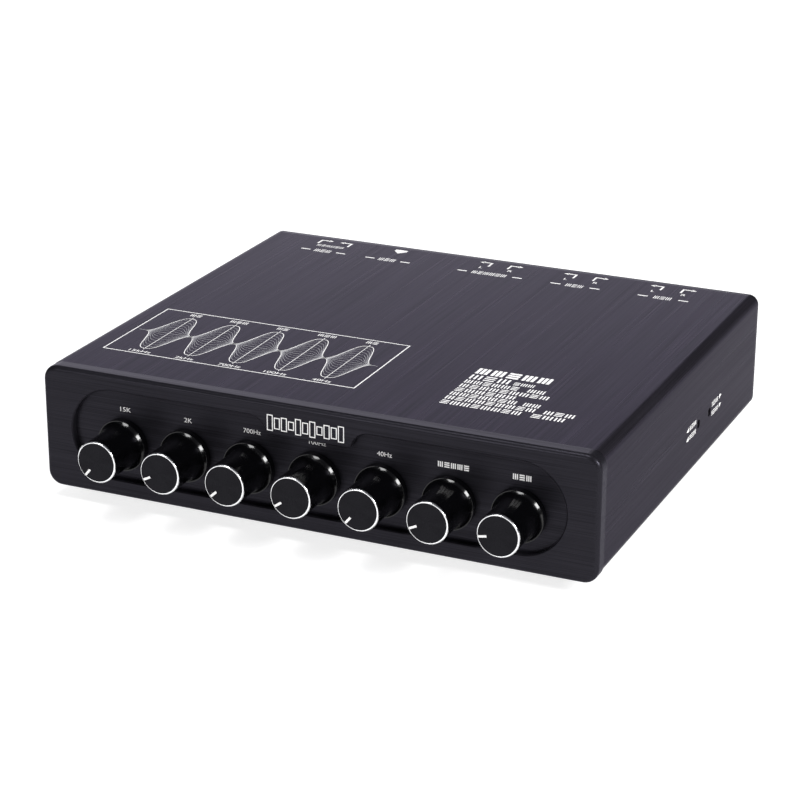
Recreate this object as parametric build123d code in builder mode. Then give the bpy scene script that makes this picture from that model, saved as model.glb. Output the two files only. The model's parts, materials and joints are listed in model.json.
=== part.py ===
from build123d import *
import os

os.makedirs("parts", exist_ok=True)

# Desktop tone-control preamplifier with seven rotary controls, in millimetres.
# X runs to the right seen from the front, Y towards the rear, Z up.
# The origin is on the floor, under the middle of the overall box.

# ---- front panel ----
panel_width = 250.0
panel_height = 54.5
panel_thick = 7.0
panel_corner_r = 6.5
panel_edge_r = 2.2  # rounding along the outer front edge
pocket_side_margin = 13.5  # pocket to each end of the panel
pocket_height = 40.0
pocket_depth = 3.1
pocket_bevel = 0.5  # round the mouth of the pocket
pocket_centre_height = 27.6  # above the bottom of the panel
tab_drop = 7.2  # how far the centre tab hangs into the pocket
tab_half_width = 17.7
tab_arc_r = 8.0
tab_arc_x = 27.0
tab_arc_angle = 77.0
fixing_inset = 17.5  # blind threaded holes, from each end of the panel
fixing_low = 9.5
fixing_high = 45.0
fixing_depth = 4.5
fixing_end_gap = 1.0  # left below the tip of a screw

# ---- casing, rear panel and tray ----
body_depth = 215.9  # front face of the front panel to outer face of the rear panel
casing_side_step = 0.9  # the casing stands in from the panel at each side
casing_bottom_step = 0.7
casing_top_step = 0.1
casing_corner_r = 4.6
casing_wall = 2.4
boss_inset = 5.4  # screw channels, from the outer faces of the casing
boss_r = 3.8
rear_panel_thick = 2.5
tray_thick = 1.5
tray_side_gap = 0.6
tray_rear_gap = 1.0
lug_width = 11.0
lug_height = 41.0
side_hole_r = 2.0
side_hole_height = 21.9  # above the bottom of the panel
side_hole_front_y = 129.7  # behind the front face of the panel
side_hole_rear_y = 145.3

# ---- feet ----
foot_height = 6.0
foot_r = 9.0
foot_edge_r = 1.5
foot_side_inset = 30.0  # from each end of the panel
foot_front_y = 28.0  # behind the front face of the panel
foot_rear_inset = 27.0  # from the outer face of the rear panel
foot_recess_r = 4.0
foot_recess_depth = 3.0

# ---- screws ----
screw_r = 1.5
screw_clearance = 0.2  # radial, in through holes
thread_gap = 0.05  # radial, between a screw and its threaded hole
screw_head_r = 2.75
screw_head_height = 1.9
nut_across = 5.5
nut_height = 2.4
rear_screw_reach = 8.0  # into the screw channels

# ---- controls ----
control_count = 7
control_pitch = 29.8
control_shift = 1.7  # the row stands to the right of the middle of the panel
control_height = 23.8  # axis above the bottom of the panel
knob_height = 23.3
knob_gap = 0.6  # between the knob and the floor of the pocket
knob_skirt_r = 11.2
knob_skirt_height = 3.0
knob_step = 0.3
knob_neck_r = 9.1
knob_neck_start = 10.0
knob_bevel = 0.7
knob_rim = 0.1  # left between the bevel and the recessed face
knob_face_recess = 0.1
pointer_start = 4.8  # from the axis; the groove runs out through the bevel
pointer_width = 1.0
pointer_depth = 0.3
pointer_angles = (220.0, 244.0, 227.5, 235.5, 220.5, 245.0, 259.0)  # clockwise from the top
knob_cavity_r = 7.5
knob_cavity_depth = 4.5
shaft_r = 3.0
shaft_reach = 20.0  # in front of the back of the panel
shaft_flat = 0.8
shaft_flat_length = 11.0
shaft_hub_rim = 2.0
shaft_hub_thick = 2.0
running_gap = 0.05  # radial, shaft in bushing
seat_gap = 0.03  # radial, shaft in knob
bushing_wall = 0.45
bushing_length = 7.0
bushing_clearance = 0.15
pot_width = 17.0
pot_corner_r = 1.5
pot_top = 8.0
pot_bottom = 10.5
pot_depth = 9.0
pot_cavity_gap = 0.5
pot_cavity_start = 2.5
pin_pitch = 5.0
pin_r = 0.45
pin_drop = 8.0  # terminals below the axis
pin_length = 3.0
pot_nut_across = 10.0
pot_nut_height = 2.0
pot_washer_r = 6.2
pot_washer_thick = 0.5

# ---- circuit boards ----
board_thick = 1.6
board_hole_gap = 0.15
control_board_width = 200.0
control_board_height = 30.0
control_board_drop = 2.0  # middle of the board below the control axis
standoff_height = 5.0
standoff_r = 2.8
main_board_left = -26.0
main_board_side_inset = 10.1  # from the outer right face of the casing
main_board_front = 48.0  # behind the front face of the panel
main_board_rear_gap = 2.0
board_screw_inset = 5.0
board_screw_length = 5.0

# ---- rear connectors ----
jack_pair_x = (-0.3, 42.5, 85.3)
jack_pitch = 14.4
jack_axis_rise = 11.5  # above the main board
jack_block_width = 28.0
jack_block_depth = 12.0
jack_block_height = 23.5
jack_flange_r = 6.2
jack_flange_thick = 1.8
jack_neck_r = 5.0
jack_hole_r = 5.15
jack_barrel_r = 4.15
jack_barrel_length = 8.0
jack_core_r = 3.3
jack_core_short = 0.6
jack_contact_r = 2.0
jack_contact_hole_r = 1.6
jack_seat_gap = 0.05
jack_screw_rise = 8.5
jack_screw_reach = 6.0  # into the jack block
inlet_x = -87.0
inlet_flange_width = 25.0
inlet_flange_height = 16.0
inlet_flange_thick = 2.0
inlet_flange_r = 4.0
inlet_body_width = 20.8
inlet_body_height = 12.8
inlet_body_depth = 15.0
inlet_mouth_width = 15.2
inlet_mouth_height = 8.8
inlet_mouth_depth = 12.5
inlet_pin_r = 1.2
inlet_pin_pitch = 8.6
inlet_pin_length = 9.5
inlet_tail_length = 8.0
panel_cut_gap = 0.25

# ---- power switch ----
switch_x = -52.9
switch_bezel_lip = 0.9  # bezel beyond the body, all round
switch_bezel_thick = 1.8
switch_bezel_r = 1.0
switch_body_depth = 12.0
switch_wall = 0.8
switch_well_depth = 4.6
rocker_width = 11.0
rocker_half_length = 8.0
rocker_tilt = 10.0
rocker_crown = 2.5  # middle of the rocker face above the pivot
rocker_proud = 0.3  # middle of the rocker face beyond the bezel
rocker_belly = 0.6
rocker_belly_inset = 1.6  # foot of the rocker in from each end
rocker_side_gap = 0.3
rocker_end_gap = 0.95
pivot_r = 0.8
pivot_length = 0.6
blade_width = 4.8
blade_thick = 0.8
blade_length = 8.0
blade_pitch = 9.0

# ---- side slide switches ----
slide_travel = 2.0
slide_body_width = 4.4
slide_body_height = 9.0
slide_body_depth = 4.8
slide_face = 0.8
slide_slot_gap = 0.15
slide_carrier_height = 4.0
slide_carrier_depth = 2.6
lever_size = 1.3
lever_recess = 0.6  # tip behind the outer face of the casing
slide_board_inset = 16.1  # from the outer right face of the casing
slide_board_margin = 4.0
slide_board_top = 4.0

# ---- power supply and board parts ----
toroid_x = -68.0
toroid_y = 125.0  # behind the front face of the panel
toroid_r = 38.0
toroid_hole_r = 12.0
toroid_height = 30.0
toroid_edge_r = 7.0
pad_thick = 1.0
pad_r = 34.0
clamp_r = 30.0
clamp_thick = 1.5
bolt_r = 2.5
bolt_head_r = 4.2
bolt_head_height = 3.5
capacitor_r = 8.0
capacitor_height = 25.0
capacitor_pitch = 19.0
capacitor_edge_r = 1.0
capacitor_row_y = 70.0  # behind the front edge of the main board
chip_length = 9.8
chip_width = 6.4
chip_height = 3.4
chip_column_pitch = 26.0
chip_row_pitch = 26.0
chip_columns = 2
chip_rows = 3
chip_shift = 26.0  # middle of the group right of the middle of the board
heatsink_length = 30.0
heatsink_row_y = 30.0  # behind the front edge of the main board
heatsink_depth = 12.0
heatsink_height = 22.0
heatsink_fins = 6
heatsink_web = 3.0
heatsink_fin_thick = 1.6
header_length = 20.0
header_depth = 5.0
header_height = 6.0
ribbon_width = 16.0
ribbon_thick = 0.9
ribbon_lead = 4.0
ribbon_sag = 10.0

# ---- positions worked out from the sizes ----
knob_proud = knob_height + knob_gap - pocket_depth
rear_proud = jack_flange_thick + jack_barrel_length
overall_depth = knob_proud + body_depth + rear_proud
front_y = knob_proud - overall_depth / 2
floor_y = front_y + pocket_depth
back_y = front_y + panel_thick
rear_y = front_y + body_depth
rear_inner_y = rear_y - rear_panel_thick
casing_bottom_z = foot_height
panel_bottom_z = casing_bottom_z - casing_bottom_step
panel_mid_z = panel_bottom_z + panel_height / 2
pocket_length = panel_width - 2 * pocket_side_margin
fixing_x = panel_width / 2 - fixing_inset
casing_width = panel_width - 2 * casing_side_step
casing_height = panel_height - casing_bottom_step - casing_top_step
casing_right_x = casing_width / 2
casing_mid_z = casing_bottom_z + casing_height / 2
casing_length = rear_inner_y - back_y
boss_spread_x = casing_width - 2 * boss_inset
boss_spread_z = casing_height - 2 * boss_inset
tray_bottom_z = casing_bottom_z + casing_wall
tray_top_z = tray_bottom_z + tray_thick
tray_width = casing_width - 2 * (boss_inset + boss_r + tray_side_gap)
tray_length = casing_length - tray_rear_gap
control_z = panel_bottom_z + control_height
knob_base_y = floor_y - knob_gap
board_bottom_z = tray_top_z + standoff_height
board_top_z = board_bottom_z + board_thick
jack_z = board_top_z + jack_axis_rise
switch_z = jack_z
inlet_z = jack_z
side_hole_z = panel_bottom_z + side_hole_height
foot_x = panel_width / 2 - foot_side_inset
foot_rear_y = body_depth - foot_rear_inset
foot_pitch_y = foot_rear_y - foot_front_y
foot_mid_y = front_y + (foot_front_y + foot_rear_y) / 2
control_x = [
    control_shift + control_pitch * (k - (control_count - 1) / 2) for k in range(control_count)
]
jack_x = [x + side * jack_pitch / 2 for x in jack_pair_x for side in (-1, 1)]
through_r = screw_r + screw_clearance
thread_r = screw_r - screw_clearance  # threaded holes, at the thread's core
shank_r = thread_r - thread_gap
bushing_r = shaft_r + running_gap + bushing_wall
shaft_hub_r = shaft_r + shaft_hub_rim
main_board_right = casing_right_x - main_board_side_inset
slide_board_x = casing_right_x - slide_board_inset
switch_well_width = rocker_width + 2 * rocker_side_gap
switch_well_height = 2 * (rocker_half_length + rocker_end_gap)
switch_body_width = switch_well_width + 2 * switch_wall
switch_body_height = switch_well_height + 2 * switch_wall
switch_bezel_width = switch_body_width + 2 * switch_bezel_lip
switch_bezel_height = switch_body_height + 2 * switch_bezel_lip
rocker_belly_half = rocker_half_length - rocker_belly_inset


def facing(x, y, z):
    # plane seen from the front: local x along X, local y along Z, out of the front
    return Plane(origin=(x, y, z), x_dir=(1, 0, 0), z_dir=(0, -1, 0))


def level(x, y, z):
    # horizontal plane
    return Plane(origin=(x, y, z))


def sideways(x, y, z):
    # plane seen from the right: local x along Y, local y along Z, out to the right
    return Plane(origin=(x, y, z), x_dir=(0, 1, 0), z_dir=(1, 0, 0))


def save(part, name):
    part.label = name
    export_step(part, "parts/" + name + ".step")


# ---- front panel ----
with BuildPart() as front_panel:
    with BuildSketch(facing(0, front_y, panel_mid_z)):
        RectangleRounded(panel_width, panel_height, panel_corner_r)
    extrude(amount=-panel_thick)
    fillet(front_panel.faces().sort_by(Axis.Y)[0].edges(), panel_edge_r)
    # shallow pocket round the controls, with a tab hanging from its top edge
    with BuildSketch(facing(0, front_y, panel_bottom_z + pocket_centre_height)):
        SlotOverall(pocket_length, pocket_height)
        with BuildLine():
            pocket_top = pocket_height / 2
            tab_low = pocket_top - tab_drop
            arc_z = pocket_top - tab_arc_r
            right = CenterArc((tab_arc_x, arc_z), tab_arc_r, 90, tab_arc_angle)
            left = CenterArc((-tab_arc_x, arc_z), tab_arc_r, 90, -tab_arc_angle)
            Line(right @ 1, (tab_half_width, tab_low))
            Line((tab_half_width, tab_low), (-tab_half_width, tab_low))
            Line((-tab_half_width, tab_low), left @ 1)
            Line(left @ 0, (-tab_arc_x, pocket_height))
            Line((-tab_arc_x, pocket_height), (tab_arc_x, pocket_height))
            Line((tab_arc_x, pocket_height), right @ 0)
        make_face(mode=Mode.SUBTRACT)
    extrude(amount=-pocket_depth, mode=Mode.SUBTRACT)
    front_face = front_panel.faces().sort_by(Axis.Y)[0]
    chamfer(front_face.inner_wires()[0].edges(), pocket_bevel)
    # holes for the control bushings
    with BuildSketch(facing(0, back_y, control_z)):
        with Locations(*[(x, 0) for x in control_x]):
            Circle(bushing_r + bushing_clearance)
    extrude(amount=panel_thick, mode=Mode.SUBTRACT)
    # blind threaded holes for the tray lugs
    with BuildSketch(facing(0, back_y, panel_bottom_z)):
        with Locations(*[(s * fixing_x, z) for s in (-1, 1) for z in (fixing_low, fixing_high)]):
            Circle(thread_r)
    extrude(amount=fixing_depth, mode=Mode.SUBTRACT)
save(front_panel.part, "front_panel")

# ---- casing: one extruded sleeve with a screw channel in each corner ----
with BuildPart() as casing:
    with BuildSketch(facing(0, back_y, casing_mid_z)):
        RectangleRounded(casing_width, casing_height, casing_corner_r)
        RectangleRounded(
            casing_width - 2 * casing_wall,
            casing_height - 2 * casing_wall,
            casing_corner_r - casing_wall,
            mode=Mode.SUBTRACT,
        )
        with GridLocations(boss_spread_x, boss_spread_z, 2, 2):
            Circle(boss_r)
            Circle(thread_r, mode=Mode.SUBTRACT)
    extrude(amount=-casing_length)
    with BuildSketch(sideways(casing_right_x, front_y, side_hole_z)):
        with Locations((side_hole_front_y, 0), (side_hole_rear_y, 0)):
            Circle(side_hole_r)
    extrude(amount=-2 * casing_wall, mode=Mode.SUBTRACT)
    with BuildSketch(level(0, foot_mid_y, casing_bottom_z)):
        with GridLocations(2 * foot_x, foot_pitch_y, 2, 2):
            Circle(through_r)
    extrude(amount=casing_wall, mode=Mode.SUBTRACT)
save(casing.part, "casing")

# ---- rear panel ----
with BuildPart() as rear_panel:
    with BuildSketch(facing(0, rear_inner_y, casing_mid_z)):
        RectangleRounded(casing_width, casing_height, casing_corner_r)
        with GridLocations(boss_spread_x, boss_spread_z, 2, 2):
            Circle(through_r, mode=Mode.SUBTRACT)
    extrude(amount=-rear_panel_thick)
    with BuildSketch(facing(0, rear_inner_y, jack_z)):
        with Locations(*[(x, 0) for x in jack_x]):
            Circle(jack_hole_r)
        with Locations(*[(x, jack_screw_rise) for x in jack_pair_x]):
            Circle(through_r)
        with Locations((inlet_x, inlet_z - jack_z)):
            Rectangle(inlet_body_width + panel_cut_gap, inlet_body_height + panel_cut_gap)
        with Locations((switch_x, switch_z - jack_z)):
            Rectangle(switch_body_width + panel_cut_gap, switch_body_height + panel_cut_gap)
    extrude(amount=-rear_panel_thick, mode=Mode.SUBTRACT)
save(rear_panel.part, "rear_panel")

# ---- tray: bent sheet that carries the boards and holds the front panel ----
standoff_x = (main_board_left + board_screw_inset, main_board_right - board_screw_inset)
standoff_y = (
    front_y + main_board_front + board_screw_inset,
    rear_inner_y - main_board_rear_gap - jack_block_depth - 2 * board_screw_inset,
)
standoff_at = [(x, y) for x in standoff_x for y in standoff_y]
with BuildPart() as tray:
    with BuildSketch(level(0, back_y + tray_length / 2, tray_bottom_z)):
        Rectangle(tray_width, tray_length)
    extrude(amount=tray_thick)
    with BuildSketch(facing(0, back_y, tray_bottom_z)):
        with Locations((-fixing_x, lug_height / 2), (fixing_x, lug_height / 2)):
            Rectangle(lug_width, lug_height)
    extrude(amount=-tray_thick)
    with BuildSketch(facing(0, back_y, panel_bottom_z)):
        with Locations(*[(s * fixing_x, z) for s in (-1, 1) for z in (fixing_low, fixing_high)]):
            Circle(through_r)
    extrude(amount=-tray_thick, mode=Mode.SUBTRACT)
    with BuildSketch(level(0, foot_mid_y, tray_bottom_z)):
        with GridLocations(2 * foot_x, foot_pitch_y, 2, 2):
            Circle(through_r)
    extrude(amount=tray_thick, mode=Mode.SUBTRACT)
    with BuildSketch(level(toroid_x, front_y + toroid_y, tray_bottom_z)):
        Circle(bolt_r + thread_gap)
    extrude(amount=tray_thick, mode=Mode.SUBTRACT)
save(tray.part, "tray")

# ---- fasteners of the casing ----
with BuildPart() as panel_screws:
    with BuildSketch(facing(0, back_y + tray_thick, panel_bottom_z)):
        with Locations(*[(s * fixing_x, z) for s in (-1, 1) for z in (fixing_low, fixing_high)]):
            Circle(shank_r)
    extrude(amount=tray_thick + fixing_depth - fixing_end_gap)
    with BuildSketch(facing(0, back_y + tray_thick, panel_bottom_z)):
        with Locations(*[(s * fixing_x, z) for s in (-1, 1) for z in (fixing_low, fixing_high)]):
            Circle(screw_head_r)
    extrude(amount=-screw_head_height)
save(panel_screws.part, "panel_screws")

with BuildPart() as rear_screws:
    with BuildSketch(facing(0, rear_y, casing_mid_z)):
        with GridLocations(boss_spread_x, boss_spread_z, 2, 2):
            Circle(shank_r)
    extrude(amount=rear_panel_thick + rear_screw_reach)
    with BuildSketch(facing(0, rear_y, casing_mid_z)):
        with GridLocations(boss_spread_x, boss_spread_z, 2, 2):
            Circle(screw_head_r)
    extrude(amount=-screw_head_height)
save(rear_screws.part, "rear_screws")

# ---- feet, held from below through the casing and the tray ----
with BuildPart() as feet:
    with BuildSketch(level(0, foot_mid_y, 0)):
        with GridLocations(2 * foot_x, foot_pitch_y, 2, 2):
            Circle(foot_r)
    extrude(amount=foot_height)
    fillet(feet.edges().group_by(Axis.Z)[0], foot_edge_r)
    with BuildSketch(level(0, foot_mid_y, 0)):
        with GridLocations(2 * foot_x, foot_pitch_y, 2, 2):
            Circle(foot_recess_r)
    extrude(amount=foot_recess_depth, mode=Mode.SUBTRACT)
    with BuildSketch(level(0, foot_mid_y, 0)):
        with GridLocations(2 * foot_x, foot_pitch_y, 2, 2):
            Circle(through_r)
    extrude(amount=foot_height, mode=Mode.SUBTRACT)
save(feet.part, "feet")

foot_screw_length = foot_height - foot_recess_depth + casing_wall + tray_thick + nut_height
with BuildPart() as foot_screws:
    with BuildSketch(level(0, foot_mid_y, foot_recess_depth)):
        with GridLocations(2 * foot_x, foot_pitch_y, 2, 2):
            Circle(shank_r)
    extrude(amount=foot_screw_length)
    with BuildSketch(level(0, foot_mid_y, foot_recess_depth)):
        with GridLocations(2 * foot_x, foot_pitch_y, 2, 2):
            Circle(screw_head_r)
    extrude(amount=-screw_head_height)
save(foot_screws.part, "foot_screws")

with BuildPart() as foot_nuts:
    with BuildSketch(level(0, foot_mid_y, tray_top_z)):
        with GridLocations(2 * foot_x, foot_pitch_y, 2, 2):
            RegularPolygon(nut_across / 2, 6, major_radius=False)
            Circle(thread_r, mode=Mode.SUBTRACT)
    extrude(amount=nut_height)
save(foot_nuts.part, "foot_nuts")

# ---- controls: potentiometer, shaft and knob, seven times ----
pot_back_y = back_y + pot_depth
shaft_front_y = back_y - shaft_reach
hub_front_y = back_y + pot_cavity_start + pot_cavity_gap
hub_rear_y = hub_front_y + shaft_hub_thick
cavity_thick = shaft_hub_thick + 2 * pot_cavity_gap


def build_pot(x, name):
    with BuildPart() as pot:
        with BuildSketch(facing(x, back_y, control_z + (pot_top - pot_bottom) / 2)):
            RectangleRounded(pot_width, pot_top + pot_bottom, pot_corner_r)
        extrude(amount=-pot_depth)
        with BuildSketch(facing(x, back_y, control_z)):
            Circle(bushing_r)
        extrude(amount=bushing_length)
        with BuildSketch(facing(x, pot_back_y, control_z - pin_drop)):
            with GridLocations(pin_pitch, 0, 3, 1):
                Circle(pin_r)
        extrude(amount=-pin_length)
        # bore for the shaft, open to the hub's chamber
        with BuildSketch(facing(x, hub_front_y, control_z)):
            Circle(shaft_r + running_gap)
        extrude(amount=bushing_length + pot_depth, mode=Mode.SUBTRACT)
        with BuildSketch(facing(x, back_y + pot_cavity_start, control_z)):
            Circle(shaft_hub_r + pot_cavity_gap)
        extrude(amount=-cavity_thick, mode=Mode.SUBTRACT)
    save(pot.part, name)


def build_shaft(x, name):
    with BuildPart() as shaft:
        with BuildSketch(facing(x, hub_rear_y, control_z)):
            Circle(shaft_r)
        extrude(amount=hub_rear_y - shaft_front_y)
        with BuildSketch(facing(x, hub_rear_y, control_z)):
            Circle(shaft_hub_r)
        extrude(amount=shaft_hub_thick)
        # flat for the knob
        with BuildSketch(facing(x, shaft_front_y, control_z + shaft_r)):
            Rectangle(2 * shaft_r, 2 * shaft_flat)
        extrude(amount=-shaft_flat_length, mode=Mode.SUBTRACT)
    save(shaft.part, name)


def build_knob(x, pointer_angle, name):
    axis_plane = level(x, knob_base_y, control_z)
    face_y = knob_base_y - knob_height
    pointer_plane = facing(x, face_y, control_z).rotated((0, 0, 90 - pointer_angle))
    bore_r = shaft_r + seat_gap
    bore_depth = knob_base_y - shaft_front_y
    shoulder_r = knob_skirt_r - knob_step
    with BuildPart() as knob:
        with BuildSketch(axis_plane):
            with BuildLine():
                Polyline(
                    (0, -bore_depth),
                    (bore_r, -bore_depth),
                    (bore_r, -knob_cavity_depth),
                    (knob_cavity_r, -knob_cavity_depth),
                    (knob_cavity_r, 0),
                    (knob_skirt_r, 0),
                    (knob_skirt_r, -knob_skirt_height),
                    (shoulder_r, -knob_skirt_height),
                )
                Spline(
                    (shoulder_r, -knob_skirt_height),
                    (knob_neck_r, -knob_neck_start),
                    tangents=[(-0.8, -1), (0, -1)],
                )
                Polyline(
                    (knob_neck_r, -knob_neck_start),
                    (knob_neck_r, -(knob_height - knob_bevel)),
                    (knob_neck_r - knob_bevel, -knob_height),
                    (0, -knob_height),
                    (0, -bore_depth),
                )
            make_face()
        revolve(axis=Axis((x, knob_base_y, control_z), (0, 1, 0)))
        # key that meets the flat of the shaft
        with BuildSketch(facing(x, shaft_front_y, control_z + shaft_r + seat_gap)):
            Rectangle(2 * shaft_r, 2 * shaft_flat)
        extrude(amount=-(bore_depth - knob_cavity_depth))
        # recessed face and pointer groove
        with BuildSketch(facing(x, face_y, control_z)):
            Circle(knob_neck_r - knob_bevel - knob_rim)
        extrude(amount=-knob_face_recess, mode=Mode.SUBTRACT)
        with BuildSketch(pointer_plane):
            with Locations((pointer_start + knob_neck_r / 2, 0)):
                Rectangle(knob_neck_r, pointer_width)
        extrude(amount=-pointer_depth, mode=Mode.SUBTRACT)
    save(knob.part, name)


for k, (x, pointer_angle) in enumerate(zip(control_x, pointer_angles)):
    build_pot(x, f"pot_{k + 1}")
    build_shaft(x, f"shaft_{k + 1}")
    build_knob(x, pointer_angle, f"knob_{k + 1}")

with BuildPart() as pot_washers:
    with BuildSketch(facing(0, floor_y, control_z)):
        with Locations(*[(x, 0) for x in control_x]):
            Circle(pot_washer_r)
            Circle(bushing_r + bushing_clearance, mode=Mode.SUBTRACT)
    extrude(amount=pot_washer_thick)
save(pot_washers.part, "pot_washers")

with BuildPart() as pot_nuts:
    with BuildSketch(facing(0, floor_y - pot_washer_thick, control_z)):
        with Locations(*[(x, 0) for x in control_x]):
            RegularPolygon(pot_nut_across / 2, 6, major_radius=False)
            Circle(bushing_r + thread_gap, mode=Mode.SUBTRACT)
    extrude(amount=pot_nut_height)
save(pot_nuts.part, "pot_nuts")

# ---- circuit boards ----
control_board_z = control_z - control_board_drop
with BuildPart() as control_board:
    with BuildSketch(facing(0, pot_back_y, control_board_z)):
        Rectangle(control_board_width, control_board_height)
        for x in control_x:
            with Locations((x, control_board_drop - pin_drop)):
                with GridLocations(pin_pitch, 0, 3, 1):
                    Circle(pin_r + board_hole_gap, mode=Mode.SUBTRACT)
    extrude(amount=-board_thick)
save(control_board.part, "control_board")

main_board_front_y = front_y + main_board_front
main_board_rear_y = rear_inner_y - main_board_rear_gap
main_board_mid_x = (main_board_left + main_board_right) / 2
main_board_mid_y = (main_board_front_y + main_board_rear_y) / 2
with BuildPart() as main_board:
    with BuildSketch(level(main_board_mid_x, main_board_mid_y, board_bottom_z)):
        Rectangle(main_board_right - main_board_left, main_board_rear_y - main_board_front_y)
    extrude(amount=board_thick)
    with BuildSketch(level(0, 0, board_bottom_z)):
        with Locations(*standoff_at):
            Circle(through_r)
    extrude(amount=board_thick, mode=Mode.SUBTRACT)
save(main_board.part, "main_board")

with BuildPart() as standoffs:
    with BuildSketch(level(0, 0, tray_top_z)):
        with Locations(*standoff_at):
            Circle(standoff_r)
            Circle(thread_r, mode=Mode.SUBTRACT)
    extrude(amount=standoff_height)
save(standoffs.part, "standoffs")

with BuildPart() as board_screws:
    with BuildSketch(level(0, 0, board_top_z)):
        with Locations(*standoff_at):
            Circle(shank_r)
    extrude(amount=-board_screw_length)
    with BuildSketch(level(0, 0, board_top_z)):
        with Locations(*standoff_at):
            Circle(screw_head_r)
    extrude(amount=screw_head_height)
save(board_screws.part, "board_screws")

# ---- phono jacks, in pairs ----
with BuildPart() as jack_blocks:
    with BuildSketch(facing(0, rear_inner_y, board_top_z)):
        with Locations(*[(x, jack_block_height / 2) for x in jack_pair_x]):
            Rectangle(jack_block_width, jack_block_height)
    extrude(amount=jack_block_depth)
    with BuildSketch(facing(0, rear_inner_y, jack_z + jack_screw_rise)):
        with Locations(*[(x, 0) for x in jack_pair_x]):
            Circle(thread_r)
    extrude(amount=jack_block_depth, mode=Mode.SUBTRACT)
save(jack_blocks.part, "jack_blocks")

jack_face_y = rear_y + jack_flange_thick
jack_front_end_y = jack_face_y + jack_barrel_length


def build_insulators(side, name):
    at = [(x + side * jack_pitch / 2, 0) for x in jack_pair_x]
    with BuildPart() as insulators:
        with BuildSketch(facing(0, rear_inner_y, jack_z)):
            with Locations(*at):
                Circle(jack_neck_r)
        extrude(amount=-rear_panel_thick)
        with BuildSketch(facing(0, rear_y, jack_z)):
            with Locations(*at):
                Circle(jack_flange_r)
        extrude(amount=-jack_flange_thick)
        with BuildSketch(facing(0, jack_face_y, jack_z)):
            with Locations(*at):
                Circle(jack_core_r)
        extrude(amount=-(jack_barrel_length - jack_core_short))
        with BuildSketch(facing(0, rear_inner_y, jack_z)):
            with Locations(*at):
                Circle(jack_contact_r + jack_seat_gap)
        extrude(amount=-(jack_front_end_y - rear_inner_y), mode=Mode.SUBTRACT)
    save(insulators.part, name)


build_insulators(-1, "jack_insulators_left")
build_insulators(1, "jack_insulators_right")

with BuildPart() as jack_barrels:
    with BuildSketch(facing(0, jack_face_y, jack_z)):
        with Locations(*[(x, 0) for x in jack_x]):
            Circle(jack_barrel_r)
            Circle(jack_core_r + jack_seat_gap, mode=Mode.SUBTRACT)
    extrude(amount=-jack_barrel_length)
save(jack_barrels.part, "jack_barrels")

jack_contact_length = jack_front_end_y - 2 * jack_core_short - rear_inner_y
with BuildPart() as jack_contacts:
    with BuildSketch(facing(0, rear_inner_y, jack_z)):
        with Locations(*[(x, 0) for x in jack_x]):
            Circle(jack_contact_r)
            Circle(jack_contact_hole_r, mode=Mode.SUBTRACT)
    extrude(amount=-jack_contact_length)
save(jack_contacts.part, "jack_contacts")

with BuildPart() as jack_screws:
    with BuildSketch(facing(0, rear_y, jack_z + jack_screw_rise)):
        with Locations(*[(x, 0) for x in jack_pair_x]):
            Circle(shank_r)
    extrude(amount=rear_panel_thick + jack_screw_reach)
    with BuildSketch(facing(0, rear_y, jack_z + jack_screw_rise)):
        with Locations(*[(x, 0) for x in jack_pair_x]):
            Circle(screw_head_r)
    extrude(amount=-screw_head_height)
save(jack_screws.part, "jack_screws")

# ---- mains inlet ----
inlet_mouth_y = rear_y + inlet_flange_thick
inlet_floor_y = inlet_mouth_y - inlet_mouth_depth
with BuildPart() as inlet:
    with BuildSketch(facing(inlet_x, rear_y, inlet_z)):
        RectangleRounded(inlet_flange_width, inlet_flange_height, inlet_flange_r)
    extrude(amount=-inlet_flange_thick)
    with BuildSketch(facing(inlet_x, rear_y, inlet_z)):
        Rectangle(inlet_body_width, inlet_body_height)
    extrude(amount=inlet_body_depth)
    with BuildSketch(facing(inlet_x, inlet_mouth_y, inlet_z)):
        SlotOverall(inlet_mouth_width, inlet_mouth_height)
    extrude(amount=inlet_mouth_depth, mode=Mode.SUBTRACT)
    with BuildSketch(facing(inlet_x, inlet_floor_y, inlet_z)):
        with GridLocations(inlet_pin_pitch, 0, 2, 1):
            Circle(inlet_pin_r + seat_gap)
    extrude(amount=inlet_body_depth, mode=Mode.SUBTRACT)
save(inlet.part, "inlet")

with BuildPart() as inlet_pins:
    with BuildSketch(facing(inlet_x, inlet_floor_y + inlet_pin_length, inlet_z)):
        with GridLocations(inlet_pin_pitch, 0, 2, 1):
            Circle(inlet_pin_r)
    extrude(amount=inlet_pin_length + inlet_tail_length)
save(inlet_pins.part, "inlet_pins")

# ---- power switch: bezel with a well, and a rocker on two pivots ----
bezel_y = rear_y + switch_bezel_thick
pivot_y = bezel_y + rocker_proud - rocker_crown
with BuildPart() as switch_housing:
    with BuildSketch(facing(switch_x, rear_y, switch_z)):
        RectangleRounded(switch_bezel_width, switch_bezel_height, switch_bezel_r)
    extrude(amount=-switch_bezel_thick)
    with BuildSketch(facing(switch_x, rear_y, switch_z)):
        Rectangle(switch_body_width, switch_body_height)
    extrude(amount=switch_body_depth)
    with BuildSketch(facing(switch_x, bezel_y, switch_z)):
        Rectangle(switch_well_width, switch_well_height)
    extrude(amount=switch_well_depth, mode=Mode.SUBTRACT)
    with BuildSketch(sideways(switch_x, pivot_y, switch_z)):
        Circle(pivot_r + running_gap)
    extrude(amount=rocker_width / 2 + pivot_length + running_gap, both=True, mode=Mode.SUBTRACT)
save(switch_housing.part, "switch_housing")

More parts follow.
